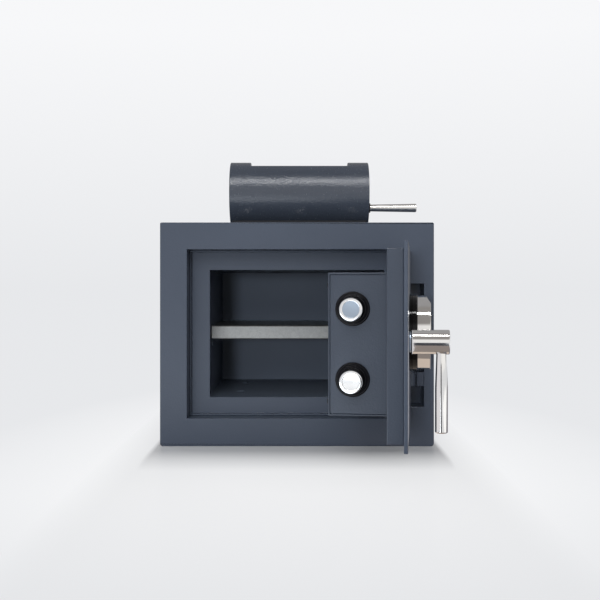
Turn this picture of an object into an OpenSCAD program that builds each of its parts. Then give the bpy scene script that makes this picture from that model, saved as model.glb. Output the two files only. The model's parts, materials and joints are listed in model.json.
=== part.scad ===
/* [Body] */
// Width of the body across its front
body_w = 355; // [340:5:420]
// Height of the body without the hopper
body_h = 290; // [280:5:360]
// Depth of the body from front face to back
body_d = 355; // [320:5:420]
// Thickness of the outer steel shell
shell_t = 3; // [2:0.5:5]
// Thickness of the inner steel liner
liner_t = 2.5; // [1.5:0.5:4]
// Radius of the two upper long edges of the body
top_edge_r = 2; // [1:0.5:4]
// Radius of the two lower long edges of the body
foot_edge_r = 4; // [2:0.5:6]
// Thickness of the filled wall at the back of the compartment
back_wall = 60; // [40:5:80]
// Hole for each floor anchor bolt
anchor_hole_d = 12; // [8:1:16]
// Distance between the anchor holes across the safe
anchor_span_x = 160; // [120:10:180]
// Distance between the anchor holes from front to back
anchor_span_y = 120; // [80:10:140]

/* [Doorway] */
// Width of the front frame beside and above the doorway
frame_w = 35; // [32:1:40]
// Height of the front frame under the doorway
sill_h = 36; // [32:1:40]
// Thickness of the front frame and its jamb
frame_t = 4; // [3:0.5:5]
// Depth of the doorway from the front face to the stop frame
jamb_d = 42; // [40:1:44]
// Reach of the stop frame inside the jamb at each side
stop_side = 26; // [24:0.5:30]
// Reach of the stop frame inside the jamb above
stop_top = 26; // [22:1:30]
// Reach of the stop frame inside the jamb below
stop_bottom = 23; // [20:1:28]
// Thickness of the stop frame
stop_t = 3; // [2:0.25:3.5]
// Thickness of the stop frame's flange against the jamb
stop_lip_t = 2; // [1:0.25:2.5]
// Depth of the stop frame's flange along the jamb
stop_lip_d = 10; // [6:1:14]
// Distance of the liner's side walls outside the stop frame's opening
liner_out = 3.5; // [0:0.5:6]

/* [Shelf] */
// Height of the shelf's top face above the floor
shelf_top = 153; // [130:0.5:170]
// Thickness of the shelf's folded front lip
shelf_t = 19; // [12:1:24]
// Sheet thickness of the shelf
shelf_sheet = 1.5; // [1:0.25:2.5]
// Set-back of the shelf's front edge from the front face
shelf_back = 92; // [92:1:110]
// Gap at each side of the shelf
shelf_gap = 1; // [0.5:0.5:2]

/* [Door] */
// Gap around the door in the doorway
door_gap = 1.75; // [1.5:0.25:2.5]
// Thickness of the door's outer plate
plate_t = 4.2; // [3.8:0.2:5.6]
// Depth of the door's inner pan
pan_t = 17.6; // [15:0.2:18]
// Sheet thickness of the door pan
pan_sheet = 2; // [1.5:0.25:3]
// Step from the edge of the outer plate to the pan
rebate = 7.5; // [7:0.5:11]
// Angle at which the door stands open
door_open = 83; // [60:0.2:100]

/* [Hinge] */
// Distance of the hinge axis outside the doorway's edge
hinge_out = 3; // [3:0.25:4]
// Distance of the hinge axis behind the door's outer face
hinge_in = 2; // [1.5:0.25:2.5]
// Diameter of the hinge knuckles
knuckle_d = 15; // [13:0.5:15]
// Diameter of the hinge pin
hinge_pin_d = 8; // [6:0.5:9]
// Width of the hinge pocket in the frame
pocket_w = 22; // [21:0.5:24]
// Depth of the hinge pocket
pocket_d = 38; // [30:1:38]
// Lower end of the hinge pocket above the floor
pocket_z = 51; // [44:1:60]
// Height of the hinge pocket
pocket_h = 159.5; // [150:0.5:170]
// Height of each fixed knuckle
fixed_knuckle_h = 18; // [14:1:20]
// Height of the moving knuckle
moving_knuckle_h = 69; // [50:1:76]
// Gap between knuckles along the pin
knuckle_gap = 0.5; // [0.4:0.1:1]

/* [Bolt work] */
// Distance from the door's free edge to the bolt face of its box
box_inset = 66.5; // [64:0.5:72]
// Length of the bolt box along the door
box_len = 118; // [116:1:126]
// Depth of the bolt box behind the door pan
box_d = 65; // [63:0.5:67]
// Height of the bolt box
box_h = 155; // [150:1:158]
// Sheet thickness of the bolt box and its cover
box_sheet = 2; // [1.5:0.25:2.5]
// Width of the cover's lip past the bolt face
cover_lip = 2; // [1:0.5:3]
// Diameter of the locking bolts
bolt_d = 25; // [22:0.5:26]
// Length of the locking bolts
bolt_len = 115; // [113:1:117]
// Distance between the centres of the two bolts
bolt_pitch = 76.5; // [75:0.5:78]
// Height of the bolt axes above the door pan
bolt_stand = 38.5; // [37:0.5:40]
// Length of a drawn bolt that still stands out of the box
bolt_reach = 30; // [26:1:30]
// Distance of the bolts' middle below the door's middle
work_drop = 1.2; // [0:0.2:3]
// Travel of the bolts
bolt_throw = 28; // [26:1:28]
// Diameter of the black guide collar around each bolt
collar_d = 37.5; // [33:0.5:38.5]
// Radial running clearance of shafts and bolts
run_gap = 0.1; // [0.05:0.01:0.15]
// Gap between moving pieces that aren't a fit
free_gap = 0.5; // [0.4:0.1:0.8]

/* [Handle] */
// Distance of the handle's axis from the door's free edge
handle_inset = 94.5; // [92:0.5:96]
// Height of the handle's axis above the door's middle
handle_up = 0.2; // [0:0.2:2]
// Diameter of the handle hub
hub_d = 27; // [23:0.2:28]
// Length of the handle hub
hub_len = 41.5; // [40:0.5:46]
// Diameter of the collar under the hub
rosette_d = 23.4; // [21:0.2:28]
// Thickness of the collar under the hub
rosette_t = 2.6; // [2:0.2:4]
// Length of the lever from the hub's axis to its tip
lever_len = 100; // [80:1:110]
// Diameter of the lever beside the hub
lever_root_d = 11; // [10:0.2:13]
// Length over which the lever widens below the hub
lever_taper = 38; // [20:1:60]
// Diameter of the lever below its taper
lever_tip_d = 14; // [12:0.2:15]
// Distance of the lever's axis in front of the door
lever_out = 35.3; // [34:0.1:37]
// Diameter of the spindle through the door
spindle_d = 12; // [10:0.5:14]
// Diameter of the cam's crank pin
crank_pin_d = 8; // [6:0.5:8]

/* [Keypad] */
// Distance of the keypad's centre from the door's free edge
keypad_inset = 164.5; // [156:0.5:170]
// Height of the keypad's centre above the door's centre
keypad_up = 7.5; // [0:0.5:12]
// Diameter of the black keypad base
keypad_base_d = 90; // [88:0.5:92]
// Thickness of the keypad base
keypad_base_t = 9; // [7:0.5:11]
// Diameter of the chrome keypad housing
keypad_d = 86.5; // [85:0.5:88]
// Thickness of the chrome keypad housing
keypad_t = 15.4; // [14:0.2:18]
// Wall thickness of the keypad housing
keypad_wall = 3; // [2:0.25:4]
// Depth of the slanted cut along the keypad's upper edge
keypad_cut_in = 5.8; // [4:0.2:7]
// Height of the slanted cut along the keypad's upper edge
keypad_cut_down = 8.7; // [6:0.1:8.8]
// Diameter of the black key panel
panel_d = 66; // [64:0.5:67]
// Thickness of the key panel
panel_t = 3; // [2:0.25:4]
// Width of a key
key_w = 11.5; // [10:0.5:12]
// Height of a key
key_h = 9; // [8:0.5:9.5]
// Distance between the centres of neighbouring keys across the panel
key_pitch_x = 14.6; // [14:0.2:15]
// Distance between the centres of neighbouring keys down the panel
key_pitch_z = 12.2; // [11.6:0.2:12.4]
// Height of a pressed key above the panel
key_proud = 0.6; // [0.4:0.1:1]
// Travel of a key
key_travel = 1; // [0.6:0.1:1]

/* [Hopper] */
// Outside radius of the hopper housing
hopper_r = 44.75; // [44:0.25:50]
// Thickness of the saddle under the lowest line of the housing
hopper_lift = 1; // [0.5:0.5:4]
// Length of the hopper housing
hopper_len = 191; // [185:1:200]
// Wall thickness of the hopper housing
hopper_wall = 3.5; // [2.5:0.25:4]
// Distance of the hopper's axis behind the front face
hopper_back = 106; // [100:1:140]
// Distance of the hopper's middle from the middle of the safe
hopper_x = 3; // [-10:1:10]
// Width of the housing band left at each end of the mouth
band_w = 28; // [24:1:34]
// Angle of the mouth's front edge in front of the top
mouth_front = 32; // [26:1:40]
// Angle of the mouth's back edge behind the top
mouth_back = 48; // [30:1:60]
// Gap between the drum and its housing
drum_gap = 0.8; // [0.5:0.1:1]
// Wall thickness of the drum
drum_wall = 2.5; // [2:0.25:3]
// Angle that the drum's pocket is open
pocket_angle = 84; // [60:2:90]
// Thickness of the drum's end discs
drum_end_t = 4; // [3:0.5:5]
// Thickness of the housing's end plates
end_plate_t = 4; // [3:0.5:5]
// Set-back of the end plates in the housing
end_plate_in = 1; // [0.5:0.25:2]
// Diameter of the pivot pins
pivot_d = 10; // [8:0.5:12]
// Angle that the drum turns to open
drum_turn = 170; // [120:5:170]
// Diameter of the crank rod at its root
rod_root_d = 9.4; // [8:0.2:10]
// Diameter of the crank rod at its tip
rod_tip_d = 11.6; // [10:0.2:13]
// Length of the crank rod outside the end plate
rod_len = 66; // [50:1:80]
// Distance of the crank rod from the drum's axis
rod_arm = 31; // [29:0.5:32]
// Angle of the closed crank rod below the front
rod_low = 41; // [35:1:45]

/* [Chute] */
// Width of the chute through the roof
chute_w = 110; // [90:2:120]
// Depth of the chute through the roof
chute_d = 46; // [40:1:48]
// Sheet thickness of the chute
chute_t = 2; // [1.5:0.25:3]
// Thickness of the saddle's bolted flange
flange_t = 3; // [3:0.5:5]
// Reach of the saddle's flange in front of and behind the hopper
flange_reach = 54; // [50:1:60]

/* [Hidden] */
$fn = 64;

powder = [0.29, 0.32, 0.37];
dark = [0.08, 0.08, 0.09];
bright = [0.82, 0.83, 0.85];
zinc = [0.66, 0.67, 0.68];
fill_grey = [0.62, 0.6, 0.56];

// Places of the doorway and the compartment
front_y = -body_d / 2;
open_x = body_w / 2 - frame_w;
open_z0 = sill_h;
open_z1 = body_h - frame_w;
stop_x = open_x - stop_side;
stop_z0 = open_z0 + stop_bottom;
stop_z1 = open_z1 - stop_top;
stop_y = front_y + jamb_d;
liner_y0 = stop_y + stop_t;
liner_x = stop_x + liner_out;
room_back_y = body_d / 2 - back_wall;

// Places in the door's own frame: the hinge axis is its origin, the free edge lies
// towards -x and the inside of the safe towards +y when the door is shut
hinge_x = open_x + hinge_out;
hinge_y = front_y + hinge_in;
knuckle_r = knuckle_d / 2;
fixed_low_z = pocket_z + 27;
moving_z0 = fixed_low_z + fixed_knuckle_h + knuckle_gap;
fixed_high_z = moving_z0 + moving_knuckle_h + knuckle_gap;
knuckles_top = fixed_high_z + fixed_knuckle_h;
face_y = -hinge_in;
plate_y = face_y + plate_t;
pan_y = plate_y + pan_t;
door_x0 = -(hinge_out + door_gap);
door_x1 = -(hinge_x + open_x - door_gap);
door_z0 = open_z0 + door_gap;
door_z1 = open_z1 - door_gap;
door_mid_z = (door_z0 + door_z1) / 2;
work_z = door_mid_z - work_drop;
handle_z = door_mid_z + handle_up;
pan_x0 = door_x0 - rebate;
pan_x1 = door_x1 + rebate;
notch_x = -(knuckle_r + free_gap);

box_x1 = door_x1 + box_inset;
box_x0 = box_x1 + box_len;
box_y1 = pan_y + box_d;
box_flange = 12;
box_z0 = work_z - box_h / 2;
box_z1 = work_z + box_h / 2;
bolt_y = pan_y + bolt_stand;
bolt_low_z = work_z - bolt_pitch / 2;
bolt_high_z = work_z + bolt_pitch / 2;
bolt_tip_x = box_x1 - bolt_reach;
bolt_tail_x = bolt_tip_x + bolt_len;
bolt_hole_r = bolt_d / 2 + 1;

// The crank pin works 45 degrees each side of upright, so its radius follows the throw
handle_x = door_x1 + handle_inset;
crank_r = bolt_throw / 2 / sin(45);
cam_y = pan_y + 6;
cam_t = 5;
bar_y = cam_y + cam_t + 3;
bar_t = 4;
bar_x1 = box_x1 + box_sheet + bolt_throw + 2;
bar_x0 = bolt_tail_x + 21;
bar_z0 = bolt_low_z - 10;
bar_z1 = bolt_high_z + 10;
slot_w = crank_pin_d + 2;
guide_x = bolt_tail_x - 38;
guide_t = 3;
ear_t = 4;

lock_x1 = guide_x + guide_t + 3;
lock_x0 = box_x0 - box_flange - 1;
lock_z0 = box_z0 + box_sheet + 0.5;
lock_z1 = bar_z0 - 3.5;
lock_bolt_w = 10;
lock_bolt_t = 8;
lock_bolt_x = lock_x1 + 14;
lock_bolt_y = bar_y + bar_t / 2;
lock_bolt_up = 1;
lock_travel = 10;

keypad_x = door_x1 + keypad_inset;
keypad_z = door_mid_z + keypad_up;
keypad_base_y = face_y - keypad_base_t;
keypad_y = keypad_base_y - keypad_t;
panel_in = 0.6;
panel_y = keypad_y + panel_in;
key_rise = key_proud + key_travel;
cable_d = 4;
cable_bend = 8;

// Places of the hopper
hopper_y = front_y + hopper_back;
hopper_z = body_h + hopper_lift + hopper_r;
bore_r = hopper_r - hopper_wall;
drum_r = bore_r - drum_gap;
end_out = hopper_len / 2 - end_plate_in;
end_in = end_out - end_plate_t;
drum_half = end_in - 0.5;
rod_angle = 180 + rod_low;
nut_t = 2.5;
nut_wall = 2;
screw_r = 3;
screw_head_r = 5.4;
screw_head_t = screw_head_r - screw_r;

// A straight-sided block from its lowest corner to its highest
module block(lo, hi) {
    translate(lo)
        cube(hi - lo);
}

// A round bar along the y axis
module round_y(x, z, y0, y1, r) {
    translate([x, y1, z])
        rotate([90, 0, 0])
            cylinder(h = y1 - y0, r = r);
}

// A round bar along the x axis
module round_x(y, z, x0, x1, r) {
    translate([x0, y, z])
        rotate([0, 90, 0])
            cylinder(h = x1 - x0, r = r);
}

// Puts a piece drawn in the shut door's frame where the open door stands
module on_door() {
    translate([hinge_x, hinge_y, 0])
        rotate([0, 0, door_open])
            children();
}

// The outline of the body seen from the front, less a margin all round
module body_outline(margin) {
    half = body_w / 2 - margin;
    low_r = max(foot_edge_r - margin, 0.5);
    high_r = max(top_edge_r - margin, 0.5);
    for (side = [-1, 1]) {
        translate([side * (half - low_r), margin + low_r])
            circle(r = low_r);
        translate([side * (half - high_r), body_h - margin - high_r])
            circle(r = high_r);
    }
    translate([-half, margin + low_r])
        square([2 * half, body_h - 2 * margin - low_r - high_r]);
    translate([low_r - half, margin])
        square([2 * (half - low_r), low_r]);
    translate([high_r - half, body_h - margin - high_r])
        square([2 * (half - high_r), high_r]);
}

// The same outline as a prism from y0 to y1
module body_prism(margin, y0, y1) {
    translate([0, y1, 0])
        rotate([90, 0, 0])
            linear_extrude(height = y1 - y0)
                body_outline(margin);
}

// The four anchor holes through the floor
module anchor_holes() {
    for (x = [-1, 1], y = [-1, 1])
        translate([x * anchor_span_x / 2, y * anchor_span_y / 2, -1])
            cylinder(h = stop_z0 + 2, d = anchor_hole_d);
}

// The square hole of the chute through the roof
module chute_hole(z0, z1) {
    block([hopper_x - chute_w / 2, hopper_y - chute_d / 2, z0],
          [hopper_x + chute_w / 2, hopper_y + chute_d / 2, z1]);
}

// The two holes in the left wall that take the thrown bolts
module bolt_sockets() {
    for (z = [bolt_low_z, bolt_high_z])
        round_x(hinge_y + bolt_y, z, hinge_x + bolt_tip_x - bolt_throw - 6, -liner_x + 1, bolt_hole_r);
}

// Outer steel box, open at the front
module body_shell() {
    color(powder)
        difference() {
            body_prism(0, front_y + frame_t, body_d / 2);
            body_prism(shell_t, front_y + frame_t - 1, body_d / 2 - shell_t);
            anchor_holes();
            chute_hole(body_h - shell_t - 1, body_h + 1);
            hopper_bolt_places() translate([0, 0, -shell_t - 1]) cylinder(h = shell_t + 2, r = screw_r + 0.2);
        }
}

// Front frame with the jamb and the hinge pocket folded into it
module front_frame() {
    jamb_back = stop_y;
    pocket_x = open_x + pocket_w;
    color(powder)
        difference() {
            union() {
                body_prism(0, front_y, front_y + frame_t);
                block([-open_x - frame_t, front_y, open_z0 - frame_t],
                      [open_x + frame_t, jamb_back, open_z1 + frame_t]);
                block([open_x, front_y, pocket_z - shell_t],
                      [pocket_x + shell_t, front_y + pocket_d + shell_t, pocket_z + pocket_h + shell_t]);
            }
            block([-open_x, front_y - 1, open_z0], [open_x, jamb_back + 1, open_z1]);
            block([open_x - 1, front_y - 1, pocket_z],
                  [pocket_x, front_y + pocket_d, pocket_z + pocket_h]);
        }
}

// Set-back frame that the shut door faces, with a flange along the jamb
module stop_frame() {
    lip_y = stop_y - stop_lip_d;
    color(powder)
        difference() {
            union() {
                block([-open_x - frame_t, stop_y, open_z0 - frame_t],
                      [open_x + frame_t, stop_y + stop_t, open_z1 + frame_t]);
                block([-open_x, lip_y, open_z0], [open_x, stop_y + 1, open_z1]);
            }
            block([stop_lip_t - open_x, lip_y - 1, open_z0 + stop_lip_t],
                  [open_x - stop_lip_t, stop_y, open_z1 - stop_lip_t]);
            block([-stop_x, stop_y - 1, stop_z0], [stop_x, stop_y + stop_t + 1, stop_z1]);
        }
}

// Inner steel box around the compartment
module inner_liner() {
    color(powder)
        difference() {
            block([-liner_x - liner_t, liner_y0, stop_z0 - liner_t],
                  [liner_x + liner_t, room_back_y + liner_t, stop_z1 + liner_t]);
            block([-liner_x, liner_y0 - 1, stop_z0], [liner_x, room_back_y, stop_z1]);
            bolt_sockets();
            anchor_holes();
            chute_hole(stop_z1 - 1, stop_z1 + liner_t + 1);
        }
}

// Cast filling between the outer box and the liner
module wall_fill() {
    color(fill_grey)
        difference() {
            body_prism(shell_t, front_y + frame_t, body_d / 2 - shell_t);
            block([-open_x - frame_t, front_y, open_z0 - frame_t],
                  [open_x + frame_t, liner_y0, open_z1 + frame_t]);
            block([-liner_x - liner_t, front_y, stop_z0 - liner_t],
                  [liner_x + liner_t, room_back_y + liner_t, stop_z1 + liner_t]);
            block([open_x, front_y, pocket_z - shell_t],
                  [open_x + pocket_w + shell_t, front_y + pocket_d + shell_t, pocket_z + pocket_h + shell_t]);
            bolt_sockets();
            anchor_holes();
            chute_hole(stop_z1, body_h);
        }
}

// Folded sheet shelf with a deep lip along its front, back and sides
module shelf() {
    lo = [-liner_x + shelf_gap, front_y + shelf_back, shelf_top - shelf_t];
    hi = [liner_x - shelf_gap, room_back_y - shelf_gap, shelf_top];
    bend_r = 2;
    color(zinc)
        difference() {
            union() {
                block([lo.x, lo.y, lo.z + bend_r], [hi.x, hi.y, hi.z - bend_r]);
                block([lo.x, lo.y + bend_r, lo.z], hi);
                for (z = [lo.z + bend_r, hi.z - bend_r])
                    round_x(lo.y + bend_r, z, lo.x, hi.x, bend_r);
            }
            block([lo.x + shelf_sheet, lo.y + shelf_sheet, lo.z + shelf_sheet],
                  [hi.x - shelf_sheet, hi.y - shelf_sheet, hi.z - shelf_sheet]);
            block([lo.x + 12, lo.y + 12, lo.z - 1], [hi.x - 12, hi.y - 12, lo.z + shelf_sheet + 1]);
        }
}

// Four angle brackets under the shelf, two on each side wall
module shelf_supports() {
    bracket_len = 24;
    leg = 10;
    color(powder)
        for (side = [-1, 1], y = [front_y + shelf_back + 14, room_back_y - 14 - bracket_len])
            scale([side, 1, 1])
                difference() {
                    block([liner_x - leg, y, shelf_top - shelf_t - leg],
                          [liner_x, y + bracket_len, shelf_top - shelf_t]);
                    block([liner_x - leg - 1, y - 1, shelf_top - shelf_t - leg - 1],
                          [liner_x - shelf_sheet, y + bracket_len + 1, shelf_top - shelf_t - shelf_sheet]);
                }
}

// Rectangular steel chute from the hopper's saddle down into the compartment
module chute_liner() {
    color(powder)
        difference() {
            chute_hole(stop_z1, body_h + flange_t);
            block([hopper_x - chute_w / 2 + chute_t, hopper_y - chute_d / 2 + chute_t, stop_z1 - 1],
                  [hopper_x + chute_w / 2 - chute_t, hopper_y + chute_d / 2 - chute_t, body_h + flange_t + 1]);
        }
}

// Two sloping plates in the chute that stop a hand or a hook
module chute_baffles() {
    inner_w = chute_w - 2 * chute_t;
    inner_d = chute_d - 2 * chute_t;
    drop = 9;
    reach = inner_d * 0.52;
    upper_rise = 13;
    lower_fall = 5;
    mid_z = (stop_z1 + body_h) / 2;
    color(powder)
        for (back = [false, true]) {
            side = back ? 1 : -1;
            wall_y = hopper_y + side * inner_d / 2;
            z = back ? mid_z + upper_rise : mid_z - lower_fall;
            translate([hopper_x - inner_w / 2, 0, 0])
                rotate([90, 0, 90])
                    linear_extrude(height = inner_w)
                        polygon([[wall_y, z], [wall_y - side * reach, z - drop],
                                 [wall_y - side * reach, z - drop - chute_t], [wall_y, z - chute_t]]);
        }
}

// The corners of a flat fan about the origin between two angles
function fan(a0, a1, r, steps = 8) =
    concat([[0, 0]], [for (i = [0:steps]) let (a = a0 + (a1 - a0) * i / steps) [r * cos(a), r * sin(a)]]);

// A wedge of the hopper's round section between two angles, as a prism along x
module sector(x0, x1, a0, a1, r) {
    translate([x0, hopper_y, hopper_z])
        rotate([90, 0, 90])
            linear_extrude(height = x1 - x0)
                polygon(fan(a0, a1, r));
}

// Round hopper housing with a mouth on top and a throat below
module hopper_housing() {
    x0 = hopper_x - hopper_len / 2;
    x1 = hopper_x + hopper_len / 2;
    color(powder)
        difference() {
            round_x(hopper_y, hopper_z, x0, x1, hopper_r);
            round_x(hopper_y, hopper_z, x0 - 1, x1 + 1, bore_r);
            sector(x0 + band_w, x1 - band_w, 90 - mouth_back, 90 + mouth_front, hopper_r * 1.6);
            chute_hole(body_h - 1, hopper_z);
        }
}

// An end plate with the hole of its pivot pin
module end_plate(side) {
    x0 = side > 0 ? hopper_x + end_in : hopper_x - end_out;
    difference() {
        round_x(hopper_y, hopper_z, x0, x0 + end_plate_t, bore_r);
        round_x(hopper_y, hopper_z, x0 - 1, x0 + end_plate_t + 1, pivot_d / 2);
    }
}

// Plain end plate
module hopper_end_left() {
    color(powder)
        end_plate(-1);
}

// End plate with the curved slot in which the crank rod swings
module hopper_end_right() {
    slot_r = rod_root_d / 2 + 1;
    slot_end = asin(slot_r / rod_arm) + 1;
    color(powder)
        difference() {
            end_plate(1);
            translate([hopper_x + end_in - 1, hopper_y, hopper_z])
                rotate([90, 0, 90])
                    linear_extrude(height = end_plate_t + 2)
                        intersection() {
                            difference() {
                                circle(r = rod_arm + slot_r);
                                circle(r = rod_arm - slot_r);
                            }
                            polygon(fan(rod_angle - drum_turn - slot_end, rod_angle + slot_end, 2 * rod_arm));
                        }
        }
}

// Cradle between the round housing and the flat roof, with its bolted flange
module hopper_saddle() {
    half_w = hopper_len / 2 - 3;
    cradle_half = chute_d / 2 + chute_t;
    color(powder)
        difference() {
            union() {
                block([hopper_x - half_w, hopper_y - cradle_half, body_h],
                      [hopper_x + half_w, hopper_y + cradle_half, hopper_z]);
                block([hopper_x - half_w, hopper_y - flange_reach, body_h],
                      [hopper_x + half_w, hopper_y + flange_reach, body_h + flange_t]);
            }
            round_x(hopper_y, hopper_z, hopper_x - half_w - 1, hopper_x + half_w + 1, hopper_r);
            chute_hole(body_h - 1, hopper_z);
            hopper_bolt_places() {
                translate([0, 0, -1])
                    cylinder(h = flange_t + 2, r = screw_r + 0.2);
                translate([0, 0, flange_t - screw_head_t])
                    cylinder(h = screw_head_t + 1, r1 = screw_r + 0.2, r2 = screw_head_r + 1.2);
            }
        }
}

// The six bolt places of the saddle's flange
module hopper_bolt_places() {
    for (x = [-1, 0, 1], y = [-1, 1])
        translate([hopper_x + x * 75, hopper_y + y * (flange_reach - 8), body_h])
            children();
}

// Flush screws that hold the saddle to the roof
module hopper_bolts() {
    socket_r = 2;
    socket_deep = 1.6;
    color(bright)
        hopper_bolt_places()
            rotate_extrude()
                polygon([[0, -shell_t], [screw_r, -shell_t], [screw_r, flange_t - screw_head_t],
                         [screw_head_r, flange_t], [socket_r, flange_t],
                         [socket_r, flange_t - socket_deep], [0, flange_t - socket_deep]]);
}

// Shouldered pivot pins in the two end plates
module drum_pivots() {
    color(bright)
        for (side = [-1, 1])
            translate([hopper_x, hopper_y, hopper_z])
                rotate([0, 90 * side, 0]) {
                    translate([0, 0, drum_half - drum_end_t - 1])
                        cylinder(h = end_out - drum_half + drum_end_t + 1, d = pivot_d);
                    translate([0, 0, end_out])
                        cylinder(h = 1.6, d = pivot_d + 5);
                }
}

// Turning drum with its pocket open towards the chute at rest
module drum_shell() {
    half = drum_half - drum_end_t;
    pocket_half = half - 14;
    color(powder)
        difference() {
            round_x(hopper_y, hopper_z, hopper_x - half, hopper_x + half, drum_r);
            round_x(hopper_y, hopper_z, hopper_x - half - 1, hopper_x + half + 1, drum_r - drum_wall);
            sector(hopper_x - pocket_half, hopper_x + pocket_half,
                   270 - pocket_angle / 2, 270 + pocket_angle / 2, drum_r * 1.6);
        }
}

// An end disc of the drum with the bore of its pivot
module drum_end(side) {
    x0 = side > 0 ? hopper_x + drum_half - drum_end_t : hopper_x - drum_half;
    difference() {
        round_x(hopper_y, hopper_z, x0, x0 + drum_end_t, drum_r);
        round_x(hopper_y, hopper_z, x0 - 1, x0 + drum_end_t + 1, pivot_d / 2 + run_gap);
    }
}

// Left end disc
module drum_end_left() {
    color(powder)
        drum_end(-1);
}

// The place of the crank rod on the right end disc, with z along the rod
module at_rod() {
    translate([hopper_x, hopper_y + rod_arm * cos(rod_angle), hopper_z + rod_arm * sin(rod_angle)])
        rotate([0, 90, 0])
            children();
}

// Right end disc, with the threaded hole of the crank rod
module drum_end_right() {
    color(powder)
        difference() {
            drum_end(1);
            at_rod()
                translate([0, 0, drum_half - drum_end_t - 1])
                    cylinder(h = drum_end_t + 2, r = 3);
        }
}

// Chrome crank rod, thicker towards its tip
module drum_rod() {
    root = end_out + 0.8;
    tip_round = 1;
    color(bright)
        at_rod() {
            translate([0, 0, drum_half - drum_end_t])
                cylinder(h = drum_end_t, r = 3);
            translate([0, 0, drum_half])
                cylinder(h = root - drum_half, d = rod_root_d);
            translate([0, 0, root])
                cylinder(h = rod_len - tip_round, d1 = rod_root_d, d2 = rod_tip_d);
            translate([0, 0, root + rod_len - tip_round])
                cylinder(h = tip_round, d1 = rod_tip_d, d2 = rod_tip_d - 2 * tip_round);
        }
}

// Dark jam nut at the root of the crank rod
module drum_rod_nut() {
    color(dark)
        at_rod()
            translate([0, 0, end_out + 0.8])
                difference() {
                    cylinder(h = nut_t, r = rod_root_d / 2 + nut_wall, $fn = 6);
                    translate([0, 0, -1])
                        cylinder(h = nut_t + 2, d = rod_root_d + 0.6);
                }
}

// A fixed knuckle with the block that joins it to the wall of the pocket
module fixed_knuckle(z) {
    block_x = knuckle_r + 2;
    wall_x = pocket_w - hinge_out;
    web_y = 3;
    web_back = 15;
    translate([hinge_x, hinge_y, z])
        difference() {
            union() {
                cylinder(h = fixed_knuckle_h, r = knuckle_r);
                block([block_x, -1, 0], [wall_x, web_back + 4, fixed_knuckle_h]);
                block([0, web_y, 0], [wall_x, web_back, fixed_knuckle_h]);
            }
            translate([0, 0, -1])
                cylinder(h = fixed_knuckle_h + 2, d = hinge_pin_d);
        }
}

// Lower fixed knuckle
module hinge_knuckle_lower() {
    color(powder)
        fixed_knuckle(fixed_low_z);
}

// Upper fixed knuckle
module hinge_knuckle_upper() {
    color(powder)
        fixed_knuckle(fixed_high_z);
}

// Hinge pin with a thin head above the upper knuckle
module hinge_pin() {
    color(bright)
        translate([hinge_x, hinge_y, fixed_low_z]) {
            cylinder(h = knuckles_top - fixed_low_z, d = hinge_pin_d);
            translate([0, 0, knuckles_top - fixed_low_z])
                cylinder(h = 2, d = hinge_pin_d + 3);
        }
}

// The round passages through the door for the spindle's bush and the lock's cable
module door_passages(y0, y1) {
    round_y(handle_x, handle_z, y0, y1, spindle_d / 2 + 3);
    round_y(keypad_x, keypad_z, y0, y1, cable_d / 2 + 1);
}

// Outer door plate, cut back where the knuckles turn
module door_plate() {
    color(powder)
        on_door()
            difference() {
                block([door_x1, face_y, door_z0], [door_x0, plate_y, door_z1]);
                block([notch_x, face_y - 1, fixed_low_z - 1], [0, plate_y + 1, knuckles_top + 3]);
                door_passages(face_y - 1, plate_y + 1);
            }
}

// Folded pan behind the outer plate
module door_pan() {
    color(powder)
        on_door()
            difference() {
                block([pan_x1, plate_y, door_z0 + rebate], [pan_x0, pan_y, door_z1 - rebate]);
                block([pan_x1 + pan_sheet, plate_y - 1, door_z0 + rebate + pan_sheet],
                      [pan_x0 - pan_sheet, pan_y - pan_sheet, door_z1 - rebate - pan_sheet]);
                door_passages(pan_y - pan_sheet - 1, pan_y + 1);
            }
}

// Cast filling inside the door pan
module door_fill() {
    color(fill_grey)
        on_door()
            difference() {
                block([pan_x1 + pan_sheet, plate_y, door_z0 + rebate + pan_sheet],
                      [pan_x0 - pan_sheet, pan_y - pan_sheet, door_z1 - rebate - pan_sheet]);
                door_passages(plate_y - 1, pan_y);
            }
}

// Moving knuckle with the leaf that is welded behind the door plate
module hinge_knuckle_door() {
    color(powder)
        on_door()
            translate([0, 0, moving_z0])
                difference() {
                    union() {
                        cylinder(h = moving_knuckle_h, r = knuckle_r);
                        block([pan_x0, plate_y, 0], [-2, plate_y + 6, moving_knuckle_h]);
                    }
                    translate([0, 0, -1])
                        cylinder(h = moving_knuckle_h + 2, r = hinge_pin_d / 2 + run_gap);
                }
}

// Two folded end plates behind the door, the first of which carries the bolts
module bolt_box() {
    y1 = box_y1 - box_sheet;
    z0 = box_z0 + box_sheet;
    z1 = box_z1 - box_sheet;
    color(powder)
        on_door()
            difference() {
                union() {
                    block([box_x1, pan_y, z0], [box_x1 + box_sheet, y1, z1]);
                    block([box_x1, pan_y, z0], [box_x1 + box_flange, pan_y + box_sheet, z1]);
                    block([box_x0 - box_sheet, pan_y, z0], [box_x0, y1, z1]);
                    block([box_x0 - box_flange, pan_y, z0], [box_x0, pan_y + box_sheet, z1]);
                }
                for (z = [bolt_low_z, bolt_high_z])
                    round_x(bolt_y, z, box_x1 - 1, box_x1 + box_sheet + 1, bolt_d / 2 + 2.5);
            }
}

// Cover over the bolt box, whose lip stands past the bolt face
module bolt_box_cover() {
    x1 = box_x1 - cover_lip;
    x0 = box_x0 + cover_lip;
    color(powder)
        on_door()
            difference() {
                block([x1, pan_y, box_z0], [x0, box_y1, box_z1]);
                block([x1 - 1, pan_y - 1, box_z0 + box_sheet], [x0 + 1, box_y1 - box_sheet, box_z1 - box_sheet]);
            }
}

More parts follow.
